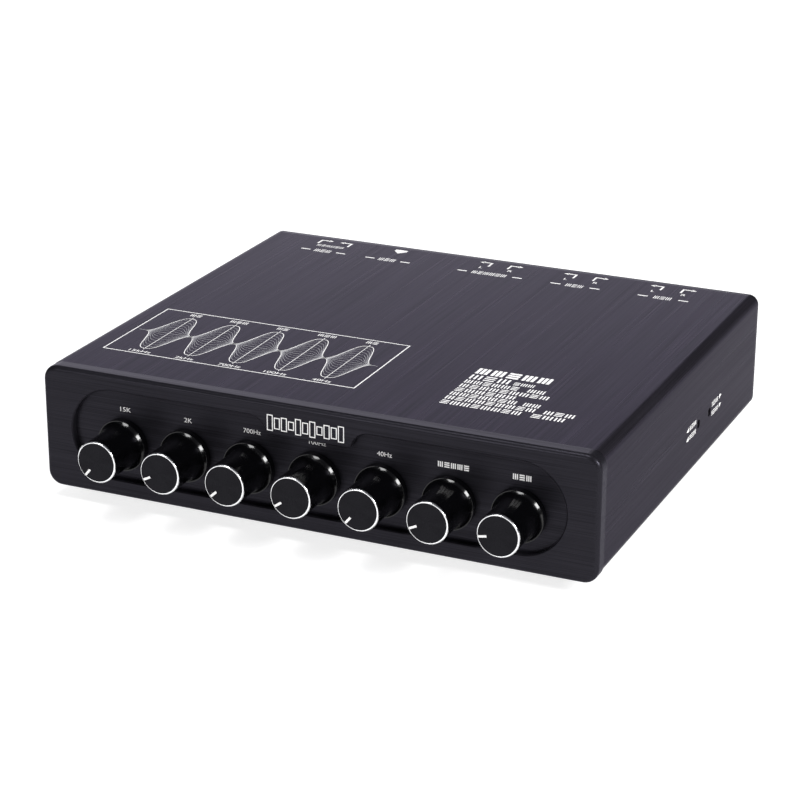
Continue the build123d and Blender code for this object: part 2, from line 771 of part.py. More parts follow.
with BuildPart() as rocker:
    with BuildSketch(sideways(switch_x, pivot_y, switch_z)):
        face_rise = Vector(1, 0).rotate(Axis.Z, rocker_tilt).Y * rocker_half_length
        with BuildLine():
            Polyline(
                (rocker_crown, 0),
                (rocker_crown + face_rise, rocker_half_length),
                (-rocker_belly, rocker_belly_half),
                (-rocker_belly, -rocker_belly_half),
                (rocker_crown + face_rise, -rocker_half_length),
                (rocker_crown, 0),
            )
        make_face()
    extrude(amount=rocker_width / 2, both=True)
    with BuildSketch(sideways(switch_x, pivot_y, switch_z)):
        Circle(pivot_r)
    extrude(amount=rocker_width / 2 + pivot_length, both=True)
rocker_at_rest = rocker.part.rotate(Axis((switch_x, pivot_y, switch_z), (1, 0, 0)), rocker_tilt)
save(rocker_at_rest, "rocker")

with BuildPart() as switch_blades:
    with BuildSketch(facing(switch_x, rear_y - switch_body_depth, switch_z)):
        with GridLocations(0, blade_pitch, 1, 2):
            Rectangle(blade_width, blade_thick)
    extrude(amount=blade_length)
save(switch_blades.part, "switch_blades")

# ---- two slide switches behind the side holes, on a small upright board ----
slide_y = (front_y + side_hole_front_y, front_y + side_hole_rear_y)
slide_mid_y = (slide_y[0] + slide_y[1]) / 2
slide_board_right_x = slide_board_x + board_thick
slide_face_x = slide_board_right_x + slide_body_depth
slide_board_length = slide_y[1] - slide_y[0] + slide_body_width + 2 * slide_board_margin
slide_board_height = side_hole_z - board_top_z + slide_body_height / 2 + slide_board_top
with BuildPart() as slide_board:
    with BuildSketch(sideways(slide_board_x, slide_mid_y, board_top_z + slide_board_height / 2)):
        Rectangle(slide_board_length, slide_board_height)
    extrude(amount=board_thick)
save(slide_board.part, "slide_board")

slide_well_height = slide_carrier_height + slide_travel + 2 * slide_slot_gap
slide_slot_height = lever_size + slide_travel + 2 * slide_slot_gap
slide_well_depth = slide_carrier_depth + 2 * slide_slot_gap
slide_well_width = slide_body_width - 2 * slide_face
with BuildPart() as slide_switches:
    with BuildSketch(sideways(slide_board_right_x, 0, side_hole_z)):
        with Locations(*[(y, 0) for y in slide_y]):
            Rectangle(slide_body_width, slide_body_height)
    extrude(amount=slide_body_depth)
    with BuildSketch(sideways(slide_face_x - slide_face, 0, side_hole_z)):
        with Locations(*[(y, 0) for y in slide_y]):
            Rectangle(slide_well_width, slide_well_height)
    extrude(amount=-slide_well_depth, mode=Mode.SUBTRACT)
    with BuildSketch(sideways(slide_face_x, 0, side_hole_z)):
        with Locations(*[(y, 0) for y in slide_y]):
            Rectangle(lever_size + 2 * slide_slot_gap, slide_slot_height)
    extrude(amount=-slide_face, mode=Mode.SUBTRACT)
save(slide_switches.part, "slide_switches")

# each lever rests at the lower end of its travel
lever_z = side_hole_z - slide_travel / 2
carrier_front_x = slide_face_x - slide_face - slide_slot_gap
lever_tip_x = casing_right_x - lever_recess
for k, y in enumerate(slide_y):
    with BuildPart() as lever:
        with BuildSketch(sideways(carrier_front_x, y, lever_z)):
            Rectangle(slide_well_width - 2 * slide_slot_gap, slide_carrier_height)
        extrude(amount=-slide_carrier_depth)
        with BuildSketch(sideways(carrier_front_x, y, lever_z)):
            Rectangle(lever_size, lever_size)
        extrude(amount=lever_tip_x - carrier_front_x)
    save(lever.part, f"slide_lever_{k + 1}")

# ---- ring-core transformer between two pads, under a clamp disc ----
toroid_centre_y = front_y + toroid_y
toroid_bottom_z = tray_top_z + pad_thick
toroid_top_z = toroid_bottom_z + toroid_height
clamp_z = toroid_top_z + pad_thick
with BuildPart() as transformer:
    with BuildSketch(level(toroid_x, toroid_centre_y, toroid_bottom_z)):
        Circle(toroid_r)
        Circle(toroid_hole_r, mode=Mode.SUBTRACT)
    extrude(amount=toroid_height)
    fillet(transformer.edges().filter_by(GeomType.CIRCLE), toroid_edge_r)
save(transformer.part, "transformer")

with BuildPart() as transformer_pads:
    for z in (tray_top_z, toroid_top_z):
        with BuildSketch(level(toroid_x, toroid_centre_y, z)):
            Circle(pad_r)
            Circle(bolt_r + screw_clearance, mode=Mode.SUBTRACT)
        extrude(amount=pad_thick)
save(transformer_pads.part, "transformer_pads")

with BuildPart() as transformer_clamp:
    with BuildSketch(level(toroid_x, toroid_centre_y, clamp_z)):
        Circle(clamp_r)
        Circle(bolt_r + screw_clearance, mode=Mode.SUBTRACT)
    extrude(amount=clamp_thick)
save(transformer_clamp.part, "transformer_clamp")

with BuildPart() as transformer_bolt:
    with BuildSketch(level(toroid_x, toroid_centre_y, tray_bottom_z)):
        Circle(bolt_r)
    extrude(amount=clamp_z + clamp_thick - tray_bottom_z)
    with BuildSketch(level(toroid_x, toroid_centre_y, clamp_z + clamp_thick)):
        Circle(bolt_head_r)
    extrude(amount=bolt_head_height)
save(transformer_bolt.part, "transformer_bolt")

# ---- parts standing on the main board ----
capacitor_x = main_board_left + 2 * capacitor_r + board_screw_inset
capacitor_y = main_board_front_y + capacitor_row_y
with BuildPart() as capacitors:
    with BuildSketch(level(capacitor_x, capacitor_y, board_top_z)):
        with GridLocations(capacitor_pitch, capacitor_pitch, 2, 2):
            Circle(capacitor_r)
    extrude(amount=capacitor_height)
    fillet(capacitors.edges().group_by(Axis.Z)[-1], capacitor_edge_r)
save(capacitors.part, "capacitors")

with BuildPart() as op_amps:
    with BuildSketch(level(main_board_mid_x + chip_shift, main_board_mid_y, board_top_z)):
        with GridLocations(chip_column_pitch, chip_row_pitch, chip_columns, chip_rows):
            Rectangle(chip_length, chip_width)
    extrude(amount=chip_height)
save(op_amps.part, "op_amps")

with BuildPart() as heatsink:
    with BuildSketch(level(capacitor_x, main_board_front_y + heatsink_row_y, board_top_z)):
        with Locations((0, -heatsink_depth / 2 + heatsink_web / 2)):
            Rectangle(heatsink_length, heatsink_web)
        fin_pitch = (heatsink_length - heatsink_fin_thick) / (heatsink_fins - 1)
        with GridLocations(fin_pitch, 0, heatsink_fins, 1):
            Rectangle(heatsink_fin_thick, heatsink_depth)
    extrude(amount=heatsink_height)
save(heatsink.part, "heatsink")

# ---- ribbon cable between a header on each board ----
header_x = main_board_mid_x
upper_header_y = pot_back_y + board_thick
upper_header_z = control_board_z
lower_header_y = main_board_front_y + header_depth
with BuildPart() as headers:
    with BuildSketch(facing(header_x, upper_header_y, upper_header_z)):
        Rectangle(header_length, header_height)
    extrude(amount=-header_depth)
    with BuildSketch(level(header_x, lower_header_y, board_top_z)):
        Rectangle(header_length, header_depth)
    extrude(amount=header_height)
save(headers.part, "headers")

ribbon_start_y = upper_header_y + header_depth + ribbon_thick / 2
ribbon_end_z = board_top_z + header_height + ribbon_thick / 2
ribbon_top_z = ribbon_end_z + ribbon_sag
with BuildPart() as ribbon_cable:
    with BuildSketch(sideways(header_x, 0, 0)):
        with BuildLine():
            Polyline(
                (ribbon_start_y, upper_header_z),
                (ribbon_start_y + ribbon_lead, upper_header_z),
                (lower_header_y, ribbon_top_z),
                (lower_header_y, ribbon_end_z),
            )
            offset(amount=ribbon_thick / 2, side=Side.BOTH)
        make_face()
    extrude(amount=ribbon_width / 2, both=True)
save(ribbon_cable.part, "ribbon_cable")
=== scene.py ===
import json
import math

import bpy
from mathutils import Matrix, Vector


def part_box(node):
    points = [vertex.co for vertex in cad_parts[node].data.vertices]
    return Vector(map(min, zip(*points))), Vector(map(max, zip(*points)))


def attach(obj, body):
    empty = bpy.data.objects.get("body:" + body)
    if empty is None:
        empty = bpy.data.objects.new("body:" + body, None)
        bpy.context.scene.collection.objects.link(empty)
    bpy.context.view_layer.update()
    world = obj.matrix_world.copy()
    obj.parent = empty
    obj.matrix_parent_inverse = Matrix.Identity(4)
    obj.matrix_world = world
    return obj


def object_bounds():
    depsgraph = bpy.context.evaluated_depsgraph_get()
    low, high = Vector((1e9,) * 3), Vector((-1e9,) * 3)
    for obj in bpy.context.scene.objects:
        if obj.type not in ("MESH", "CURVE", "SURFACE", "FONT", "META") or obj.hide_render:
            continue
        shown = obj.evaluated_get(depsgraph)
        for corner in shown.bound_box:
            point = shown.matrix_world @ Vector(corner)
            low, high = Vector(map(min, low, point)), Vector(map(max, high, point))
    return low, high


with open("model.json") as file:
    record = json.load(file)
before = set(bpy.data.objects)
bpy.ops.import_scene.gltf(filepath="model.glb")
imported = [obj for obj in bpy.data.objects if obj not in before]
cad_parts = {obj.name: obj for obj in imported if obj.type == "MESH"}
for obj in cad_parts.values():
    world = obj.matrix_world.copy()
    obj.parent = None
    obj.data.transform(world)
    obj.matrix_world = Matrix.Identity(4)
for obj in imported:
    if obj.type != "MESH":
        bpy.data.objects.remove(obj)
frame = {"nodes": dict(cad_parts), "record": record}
CAD_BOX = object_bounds()

MM = 0.001

# ---- places taken from the frame ----
panel_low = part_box("front_panel")[0]
case_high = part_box("casing")[1]
PANEL_FRONT = panel_low.y
PANEL_BOTTOM = panel_low.z
KNOB_COUNT = len([name for name in frame["nodes"] if name.startswith("knob_")])
KNOBS = [f"knob_{k + 1}" for k in range(KNOB_COUNT)]

POCKET_DEPTH = 3.1 * MM  # from the front of the panel to the floor of its pocket
INK = 0.02 * MM  # thickness of the printing
RIGHT = (1, 0, 0)
BACK = (0, 1, 0)
UP = (0, 0, 1)


# =====================================================================
# camera
# =====================================================================
CAMERA_FROM_PANEL = Vector((404.2, -814.4, 405.1)) * MM  # from the foot of the front panel
CAMERA_YAW = math.radians(24.069)
CAMERA_PITCH = math.radians(20.889)
CAMERA_ROLL = math.radians(0.207)
SENSOR_WIDTH = 36.0
FOCAL_SHARE = 3.027  # focal length over the sensor's width
NEAR_CLIP = 0.01
FAR_CLIP = 50.0


def make_camera():
    ahead = Vector((
        -math.sin(CAMERA_YAW) * math.cos(CAMERA_PITCH),
        math.cos(CAMERA_YAW) * math.cos(CAMERA_PITCH),
        -math.sin(CAMERA_PITCH),
    ))
    level_right = ahead.cross(Vector(UP)).normalized()
    level_up = level_right.cross(ahead)
    right = math.cos(CAMERA_ROLL) * level_right + math.sin(CAMERA_ROLL) * level_up
    up = math.cos(CAMERA_ROLL) * level_up - math.sin(CAMERA_ROLL) * level_right
    data = bpy.data.cameras.new("camera")
    data.sensor_width = SENSOR_WIDTH
    data.lens = FOCAL_SHARE * SENSOR_WIDTH
    data.clip_start = NEAR_CLIP
    data.clip_end = FAR_CLIP
    camera = bpy.data.objects.new("camera", data)
    turn = Matrix((right, up, -ahead)).transposed()
    place = CAMERA_FROM_PANEL + Vector((0, PANEL_FRONT, PANEL_BOTTOM))
    camera.matrix_world = Matrix.Translation(place) @ turn.to_4x4()
    bpy.context.scene.collection.objects.link(camera)
    bpy.context.scene.camera = camera


# =====================================================================
# materials
# =====================================================================
NOISE_LOW = 0.3  # most values of a noise lie between these two
NOISE_HIGH = 0.7


class Look:
    """A procedural material: a Principled shader with noise-driven colour, roughness and bump.

    edge is the colour of the reflection at a grazing angle.
    """

    def __init__(self, name, colour, metallic=0.0, roughness=0.5, specular=0.5, edge=(1, 1, 1)):
        self.material = bpy.data.materials.new(name)
        self.material.use_nodes = True
        self.nodes = self.material.node_tree.nodes
        self.links = self.material.node_tree.links
        self.shader = self.nodes["Principled BSDF"]
        self.colour = colour
        self.roughness = roughness
        self.shader.inputs["Base Color"].default_value = (*colour, 1)
        self.shader.inputs["Metallic"].default_value = metallic
        self.shader.inputs["Roughness"].default_value = roughness
        self.shader.inputs["Specular IOR Level"].default_value = specular
        self.shader.inputs["Specular Tint"].default_value = (*edge, 1)

    def noise(self, size, detail=3.0):
        """Noise whose grains are size = (x, y, z) millimetres; a long size makes a streak."""
        place = self.nodes.new("ShaderNodeTexCoord")
        stretch = self.nodes.new("ShaderNodeMapping")
        stretch.inputs["Scale"].default_value = [1 / (axis * MM) for axis in size]
        grain = self.nodes.new("ShaderNodeTexNoise")
        grain.inputs["Scale"].default_value = 1.0
        grain.inputs["Detail"].default_value = detail
        self.links.new(place.outputs["Object"], stretch.inputs["Vector"])
        self.links.new(stretch.outputs["Vector"], grain.inputs["Vector"])
        return grain.outputs["Fac"]

    def spread(self, value, low, high):
        """Noise with its usual range mapped to low to high."""
        ranged = self.nodes.new("ShaderNodeMapRange")
        ranged.inputs["From Min"].default_value = NOISE_LOW
        ranged.inputs["From Max"].default_value = NOISE_HIGH
        ranged.inputs["To Min"].default_value = low
        ranged.inputs["To Max"].default_value = high
        self.links.new(value, ranged.inputs["Value"])
        return ranged.outputs["Result"]

    def vary_colour(self, value, depth):
        """Colour from 1 - depth to 1 + depth times the base colour."""
        mix = self.nodes.new("ShaderNodeMix")
        mix.data_type = "RGBA"
        mix.inputs["A"].default_value = (*[c * (1 - depth) for c in self.colour], 1)
        mix.inputs["B"].default_value = (*[c * (1 + depth) for c in self.colour], 1)
        self.links.new(self.spread(value, 0.0, 1.0), mix.inputs["Factor"])
        self.links.new(mix.outputs["Result"], self.shader.inputs["Base Color"])

    def vary_roughness(self, value, depth):
        """Roughness from 1 - depth to 1 + depth times the base roughness."""
        low = self.roughness * (1 - depth)
        high = self.roughness * (1 + depth)
        self.links.new(self.spread(value, low, high), self.shader.inputs["Roughness"])

    def bump(self, value, height):
        """Bump of a real height in millimetres."""
        bump = self.nodes.new("ShaderNodeBump")
        bump.inputs["Distance"].default_value = height * MM
        self.links.new(value, bump.inputs["Height"])
        self.links.new(bump.outputs["Normal"], self.shader.inputs["Normal"])


STREAK_LENGTH = 60.0  # of the brushed lines
BAND_LENGTH = 240.0  # of the broader bands in the brushing
BAND_WIDTH = 5  # of a band, in widths of a line


def brushed(name, colour, along, streak, roughness, edge):
    """Brushed anodised aluminium.

    along is the brushing direction and streak the width of its lines in millimetres.
    """
    look = Look(name, colour, metallic=0.6, roughness=roughness, specular=0.03, edge=edge)
    fine = [streak] * 3
    broad = [BAND_WIDTH * streak] * 3
    fine["XYZ".index(along)] = STREAK_LENGTH
    broad["XYZ".index(along)] = BAND_LENGTH
    lines = look.noise(fine, detail=4.0)
    bands = look.noise(broad, detail=2.0)
    look.vary_colour(lines, depth=0.35)
    look.vary_roughness(bands, depth=0.12)
    look.bump(lines, height=0.006)
    return look


def make_casing_grey():
    colour = (0.028, 0.0257, 0.0325)
    edge = (0.38, 0.37, 0.41)
    return brushed("casing_grey", colour, along="Y", streak=0.30, roughness=0.30, edge=edge)


def make_front_black():
    colour = (0.0205, 0.0195, 0.0245)
    edge = (0.60, 0.586, 0.644)
    return brushed("front_black", colour, along="X", streak=0.25, roughness=0.34, edge=edge)


TURNING_LINES = (40.0, 0.12, 40.0)  # size of the lines that run around a knob


def make_knob_black():
    look = Look("knob_black", (0.0010, 0.0010, 0.0013), roughness=0.14, specular=0.4)
    turning = look.noise(TURNING_LINES, detail=2.0)
    look.vary_roughness(turning, depth=0.35)
    look.bump(turning, height=0.0015)
    return look


def make_turned_face():
    """Dark dyed metal turned on a lathe, so the sheen fans out from the middle."""
    look = Look("turned_face", (0.0135, 0.0132, 0.0155), metallic=1.0, roughness=0.3)
    look.shader.inputs["Anisotropic"].default_value = 0.85
    around = look.nodes.new("ShaderNodeTangent")
    around.direction_type = "RADIAL"
    around.axis = "Y"
    look.links.new(around.outputs["Tangent"], look.shader.inputs["Tangent"])
    grain = look.noise([0.5] * 3, detail=4.0)
    look.vary_colour(grain, depth=0.15)
    look.vary_roughness(grain, depth=0.15)
    return look


def metal(name, colour, roughness, grain):
    look = Look(name, colour, metallic=1.0, roughness=roughness)
    spots = look.noise([grain] * 3)
    look.vary_colour(spots, depth=0.08)
    look.vary_roughness(spots, depth=0.25)
    look.bump(spots, height=0.004)
    return look


def moulded(name, colour, roughness, grain, depth=0.12):
    look = Look(name, colour, roughness=roughness)
    spots = look.noise([grain] * 3)
    look.vary_colour(spots, depth)
    look.vary_roughness(spots, depth=0.2)
    look.bump(spots, height=0.01)
    return look


def ink(name, colour, depth):
    look = Look(name, colour)
    look.vary_colour(look.noise([0.3] * 3), depth)
    return look


LOOKS = {  # metal and moulded are given a colour, a roughness and a grain in millimetres
    "casing_grey": make_casing_grey(),
    "front_black": make_front_black(),
    "knob_black": make_knob_black(),
    "shaft_metal": metal("shaft_metal", (0.72, 0.72, 0.70), 0.30, 0.6),
    "pot_metal": metal("pot_metal", (0.55, 0.56, 0.57), 0.38, 1.5),
    "bright_steel": metal("bright_steel", (0.60, 0.60, 0.58), 0.28, 0.8),
    "black_screw": metal("black_screw", (0.035, 0.035, 0.038), 0.38, 0.5),
    "sheet_steel": metal("sheet_steel", (0.50, 0.51, 0.50), 0.40, 9.0),
    "turned_face": make_turned_face(),
    # near-black flat crosses on the screw heads: painted shade standing for the hollow of each
    # cross recess
    "recess_painted_shade": moulded("recess_painted_shade", (0.002, 0.002, 0.002), 0.6, 0.3),
    "cut_ring": metal("cut_ring", (0.95, 0.95, 0.97), 0.20, 0.4),
    "foot_rubber": moulded("foot_rubber", (0.012, 0.012, 0.012), 0.75, 0.4),
    "board_green": moulded("board_green", (0.015, 0.09, 0.04), 0.32, 6.0),
    "black_plastic": moulded("black_plastic", (0.014, 0.014, 0.016), 0.42, 0.35),
    "white_plastic": moulded("white_plastic", (0.75, 0.75, 0.72), 0.38, 0.8, depth=0.03),
    "red_plastic": moulded("red_plastic", (0.55, 0.02, 0.02), 0.38, 0.8, depth=0.05),
    "jack_plating": metal("jack_plating", (0.72, 0.70, 0.66), 0.16, 1.0),
    "contact_brass": metal("contact_brass", (0.75, 0.55, 0.22), 0.22, 1.0),
    "rocker_black": moulded("rocker_black", (0.010, 0.010, 0.012), 0.24, 0.5),
    "switch_shell": metal("switch_shell", (0.60, 0.60, 0.60), 0.33, 1.2),
    "transformer_wrap": moulded("transformer_wrap", (0.35, 0.22, 0.04), 0.35, 3.0),
    "capacitor_sleeve": moulded("capacitor_sleeve", (0.02, 0.03, 0.09), 0.25, 2.0),
    "chip_black": moulded("chip_black", (0.02, 0.02, 0.02), 0.55, 0.2),
    "heatsink_black": metal("heatsink_black", (0.03, 0.03, 0.03), 0.45, 1.0),
    "ribbon_grey": moulded("ribbon_grey", (0.45, 0.45, 0.45), 0.45, 1.3),
}
white_ink = ink("white_ink", (0.92, 0.91, 0.90), depth=0.06)
grey_ink = ink("grey_ink", (0.50, 0.50, 0.52), depth=0.08)


def dress_cad_nodes():
    for part in frame["record"]["subparts"]:
        node = frame["nodes"][part["node"]]
        node.data.materials.clear()
        node.data.materials.append(LOOKS[part["material_slot"]].material)


# =====================================================================
# mesh helpers
# =====================================================================
def mesh_object(name, points, faces, look, body, smooth=False):
    mesh = bpy.data.meshes.new(name)
    mesh.from_pydata(points, [], faces)
    mesh.validate()
    mesh.materials.append(look.material)
    if smooth:
        mesh.shade_smooth()
    piece = bpy.data.objects.new(name, mesh)
    bpy.context.scene.collection.objects.link(piece)
    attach(piece, body)
    return piece


MITRE_LIMIT = 0.35  # keeps the corners of a stroke from growing into spikes
BLOCK_SHARE = 0.78  # width of a hatched block over the distance between blocks
HATCH_LINES = 3
TURN_EVERY = 3  # one hatched block in so many has lying lines
WELD_PLACES = 4  # decimals of a millimetre to which points are told apart


class Print:
    """Flat printed shapes on one face, u to the right and v up, in millimetres."""

    def __init__(self):
        self.points = []
        self.faces = []

    def polygon(self, corners):
        edges = zip(corners, corners[1:] + corners[:1])
        area = sum(a[0] * b[1] - b[0] * a[1] for a, b in edges)
        start = len(self.points)
        self.points.extend(corners if area > 0 else corners[::-1])
        self.faces.append(list(range(start, start + len(corners))))

    def bar(self, u, v, width, height):
        """Filled rectangle from its lower left corner."""
        self.polygon([(u, v), (u + width, v), (u + width, v + height), (u, v + height)])

    def stroke(self, line, width, closed=False):
        """Strip of constant width along a line, with mitred corners."""
        count = len(line)
        sides = []
        for k in range(count):
            before = line[k - 1] if closed or k else line[k]
            after = line[(k + 1) % count] if closed or k < count - 1 else line[k]
            here = Vector(line[k])
            into = (here - Vector(before)).normalized()
            out = (Vector(after) - here).normalized()
            along = (into + out).normalized()
            normal = Vector((-along.y, along.x))
            square = into if into.length else out
            reach = width / 2 / max(MITRE_LIMIT, along.dot(square))
            sides.append((here + normal * reach, here - normal * reach))
        spans = range(count) if closed else range(count - 1)
        for k in spans:
            left_a, right_a = sides[k]
            left_b, right_b = sides[(k + 1) % count]
            self.polygon([tuple(right_a), tuple(right_b), tuple(left_b), tuple(left_a)])

    def text(self, words, u, v, width, height):
        """Plain lettering that fills a box from its lower left corner."""
        curve = bpy.data.curves.new("lettering", "FONT")
        curve.body = words
        source = bpy.data.objects.new("lettering", curve)
        flat = bpy.data.meshes.new_from_object(source)
        us = [p.co.x for p in flat.vertices]
        vs = [p.co.y for p in flat.vertices]
        left = min(us)
        low = min(vs)
        u_scale = width / (max(us) - left)
        v_scale = height / (max(vs) - low)
        for face in flat.polygons:
            corners = [flat.vertices[k].co for k in face.vertices]
            self.polygon([(u + (c.x - left) * u_scale, v + (c.y - low) * v_scale) for c in corners])
        bpy.data.objects.remove(source)
        bpy.data.curves.remove(curve)
        bpy.data.meshes.remove(flat)

    def greeked(self, u, v, width, height, cell, share=0.18, phase=1):
        """A row of hatched blocks that stands for a printed word, with no letters in it.

        cell is the usual width of a block, share the ink's part of the hatching, and phase
        says which blocks have lying lines.
        """
        count = max(1, round(width / cell))
        pitch = width / count
        side = pitch * BLOCK_SHARE
        row_step = (height - height * share) / (HATCH_LINES - 1)
        column_step = (side - side * share) / (HATCH_LINES - 1)
        for k in range(count):
            left = u + k * pitch
            lying = (k + phase) % TURN_EVERY == TURN_EVERY - 1
            for line in range(HATCH_LINES):
                if lying:
                    self.bar(left, v + line * row_step, side, height * share)
                else:
                    self.bar(left + line * column_step, v, side * share, height)

    def build(self, name, origin, right, up, look):
        """Makes closed plates of ink that stand on the plane through origin."""
        right = Vector(right)
        up = Vector(up)
        out = right.cross(up)
        welded = {}
        index = []
        for u, v in self.points:
            key = (round(u, WELD_PLACES), round(v, WELD_PLACES))
            index.append(welded.setdefault(key, len(welded)))
        base = [origin + right * u * MM + up * v * MM for u, v in welded]
        raised = [p + out * INK for p in base]
        count = len(base)
        tops = [[index[k] for k in face] for face in self.faces]
        tops = [face for face in tops if len(set(face)) == len(face)]
        edges = {}  # a dictionary and not a set, to keep their order
        for face in tops:
            for edge in zip(face, face[1:] + face[:1]):
                edges[edge] = True
        rim = [(a, b) for a, b in edges if (b, a) not in edges]
        faces = [[k + count for k in face] for face in tops]
        faces += [face[::-1] for face in tops]
        faces += [[a, b, b + count, a + count] for a, b in rim]
        mesh_object(name, base + raised, faces, look, "chassis")


# =====================================================================
# printing on the top of the casing, in millimetres to the right of the
# middle and behind the front
# =====================================================================
BAND_NAMES = ("15kHz", "2kHz", "700Hz", "100Hz", "40Hz")
BAND_FIRST = -95.9  # middle of the first band
BAND_PITCH = 21.63
BAND_REACH = BAND_PITCH / 2
BAND_MIDDLE = 57.0  # the line from which the curves rise and fall
BAND_GAIN = 21.0  # height of the outer curve
BAND_SPREAD = 6.8
BAND_POWER = 3.3
CURVES = 8  # on each side of the line
CURVE_STEPS = 16  # on each side of a band's middle

DIAGRAM = (-112.4, 29.2, 6.6, 86.0)  # left, near, right and far side
BORDER_WIDTH = 0.55
OUTER_CURVE_WIDTH = 0.34
INNER_CURVE_WIDTH = 0.11
BAND_AXIS_WIDTH = 0.3
BAND_AXIS_NEAR = BAND_MIDDLE - BAND_GAIN - 1.5
BAND_AXIS_FAR = BAND_MIDDLE + BAND_GAIN + 2
ZERO_LINE_WIDTH = 0.2
ZERO_LINE_LEFT = BAND_FIRST - BAND_REACH - 4
ZERO_LINE_MARGIN = 2  # from its right end to the border

BAND_NAME_NEAR = 30.7
BAND_NAME_HEIGHT = 2.3
LETTER_PITCH = 1.9
BAND_WORD_NEAR = 81.4
BAND_WORD_HEIGHT = 2.7
BAND_WORD_CELL = 3.0


def bell(offset):
    return math.exp(-((abs(offset) / BAND_SPREAD) ** BAND_POWER))


def print_diagram():
    """Returns the page with the white lines and the page with the grey ones."""
    frame_lines = Print()
    fine_lines = Print()
    left, near, right, far = DIAGRAM
    border = [(left, near), (right, near), (right, far), (left, far)]
    frame_lines.stroke(border, BORDER_WIDTH, closed=True)
    steps = [BAND_REACH * k / CURVE_STEPS for k in range(-CURVE_STEPS, CURVE_STEPS + 1)]
    for band, words in enumerate(BAND_NAMES):
        middle = BAND_FIRST + band * BAND_PITCH
        for curve in range(1, CURVES + 1):
            outer = curve == CURVES
            page = frame_lines if outer else fine_lines
            for sign in (-1, 1):
                gain = sign * BAND_GAIN * curve / CURVES
                line = [(middle + s, BAND_MIDDLE + gain * bell(s)) for s in steps]
                page.stroke(line, OUTER_CURVE_WIDTH if outer else INNER_CURVE_WIDTH)
        axis = [(middle, BAND_AXIS_NEAR), (middle, BAND_AXIS_FAR)]
        frame_lines.stroke(axis, BAND_AXIS_WIDTH)
        width = LETTER_PITCH * len(words) + 1
        frame_lines.text(words, middle - width / 2, BAND_NAME_NEAR, width, BAND_NAME_HEIGHT)
        width = BAND_WORD_CELL * (3 if band % 2 else 2)
        start = middle - width / 2
        frame_lines.greeked(start, BAND_WORD_NEAR, width, BAND_WORD_HEIGHT, BAND_WORD_CELL)
    zero_line = [(ZERO_LINE_LEFT, BAND_MIDDLE), (right - ZERO_LINE_MARGIN, BAND_MIDDLE)]
    fine_lines.stroke(zero_line, ZERO_LINE_WIDTH)
    return frame_lines, fine_lines


SPEC_ROWS = (  # near edge, height, and the start and width of each run of marks
    (66.4, 6.6, ((44.9, 34.6),)),
    (59.6, 5.2, ((44.9, 18.8),)),
    (60.0, 3.2, ((64.6, 9.6),)),
    (54.3, 3.9, ((44.9, 24.6), (73.0, 8.0))),
    (49.1, 3.9, ((44.9, 39.8),)),
    (44.0, 3.9, ((44.9, 27.2),)),
    (39.0, 3.9, ((44.9, 29.6), (77.0, 7.7))),
    (34.0, 3.9, ((44.9, 39.6), (87.8, 13.7))),
    (28.7, 3.9, ((44.9, 35.6), (84.4, 14.8))),
)


HEADING_SHARE = 0.26  # ink's part of the first row
ROW_SHARE = 0.19
ROW_CELL = 1.1  # width of a block over the height of its row


def print_specifications(page):
    for row, (near, height, runs) in enumerate(SPEC_ROWS):
        share = ROW_SHARE if row else HEADING_SHARE
        for start, width in runs:
            page.greeked(start, near, width, height, height * ROW_CELL, share, phase=row)


BRACKET = ((0, 204.4), (0, 209.6), (4.4, 209.6))  # each point: away from the leg, behind the front
BRACKET_TIP = ((3.8, 208.3), (6.2, 209.4), (3.8, 211.0))
BRACKET_WIDTH = 0.9


def print_bracket(page, leg, toward):
    """Corner bracket with an arrow tip; toward is +1 when its bar runs to the right of the leg."""
    page.stroke([(leg + toward * away, v) for away, v in BRACKET], BRACKET_WIDTH)
    page.polygon([(leg + toward * away, v) for away, v in BRACKET_TIP])


CAPTION_NEAR = 191.9
CAPTION_HEIGHT = 3.9
CAPTION_CELL = 3.2
DASH_NEAR = 193.2
DASH_LENGTH = 4.8
DASH_WIDTH = 1.0


def print_caption(page, middle, width, half_span):
    """Word between two dashes."""
    page.greeked(middle - width / 2, CAPTION_NEAR, width, CAPTION_HEIGHT, CAPTION_CELL)
    for left in (middle - half_span, middle + half_span - DASH_LENGTH):
        page.bar(left, DASH_NEAR, DASH_LENGTH, DASH_WIDTH)


# each caption: its middle, the width of its word and the reach of its dashes
SUPPLY_CAPTION = (-87.1, 9.0, 11.7)
SWITCH_CAPTION = (-53.0, 9.0, 11.6)
CONNECTOR_CAPTIONS = (
    (-0.3, 17.6, 16.3),
    (42.5, 8.8, 12.0),
    (85.3, 8.8, 12.1),
)
SUPPLY_LEFT_LEG = -95.1
SUPPLY_RIGHT_LEG = -79.2
SUPPLY_WORD = (-94.0, 200.4, 14.3, 2.8)  # left, near, width and height
SUPPLY_CELL = 2.4
SUPPLY_SHARE = 0.16
SWITCH_SIGN = ((-55.8, 210.8), (-49.6, 210.8), (-49.6, 208.6), (-52.7, 205.2), (-55.8, 208.6))
CHANNEL_LEG = 4.9  # from the middle of a pair of connectors
CHANNELS = (("L", -8.4, 1.7), ("R", 6.0, 2.3))  # letter, its left from the middle, its width
CHANNEL_NEAR = 200.6
CHANNEL_HEIGHT = 2.5


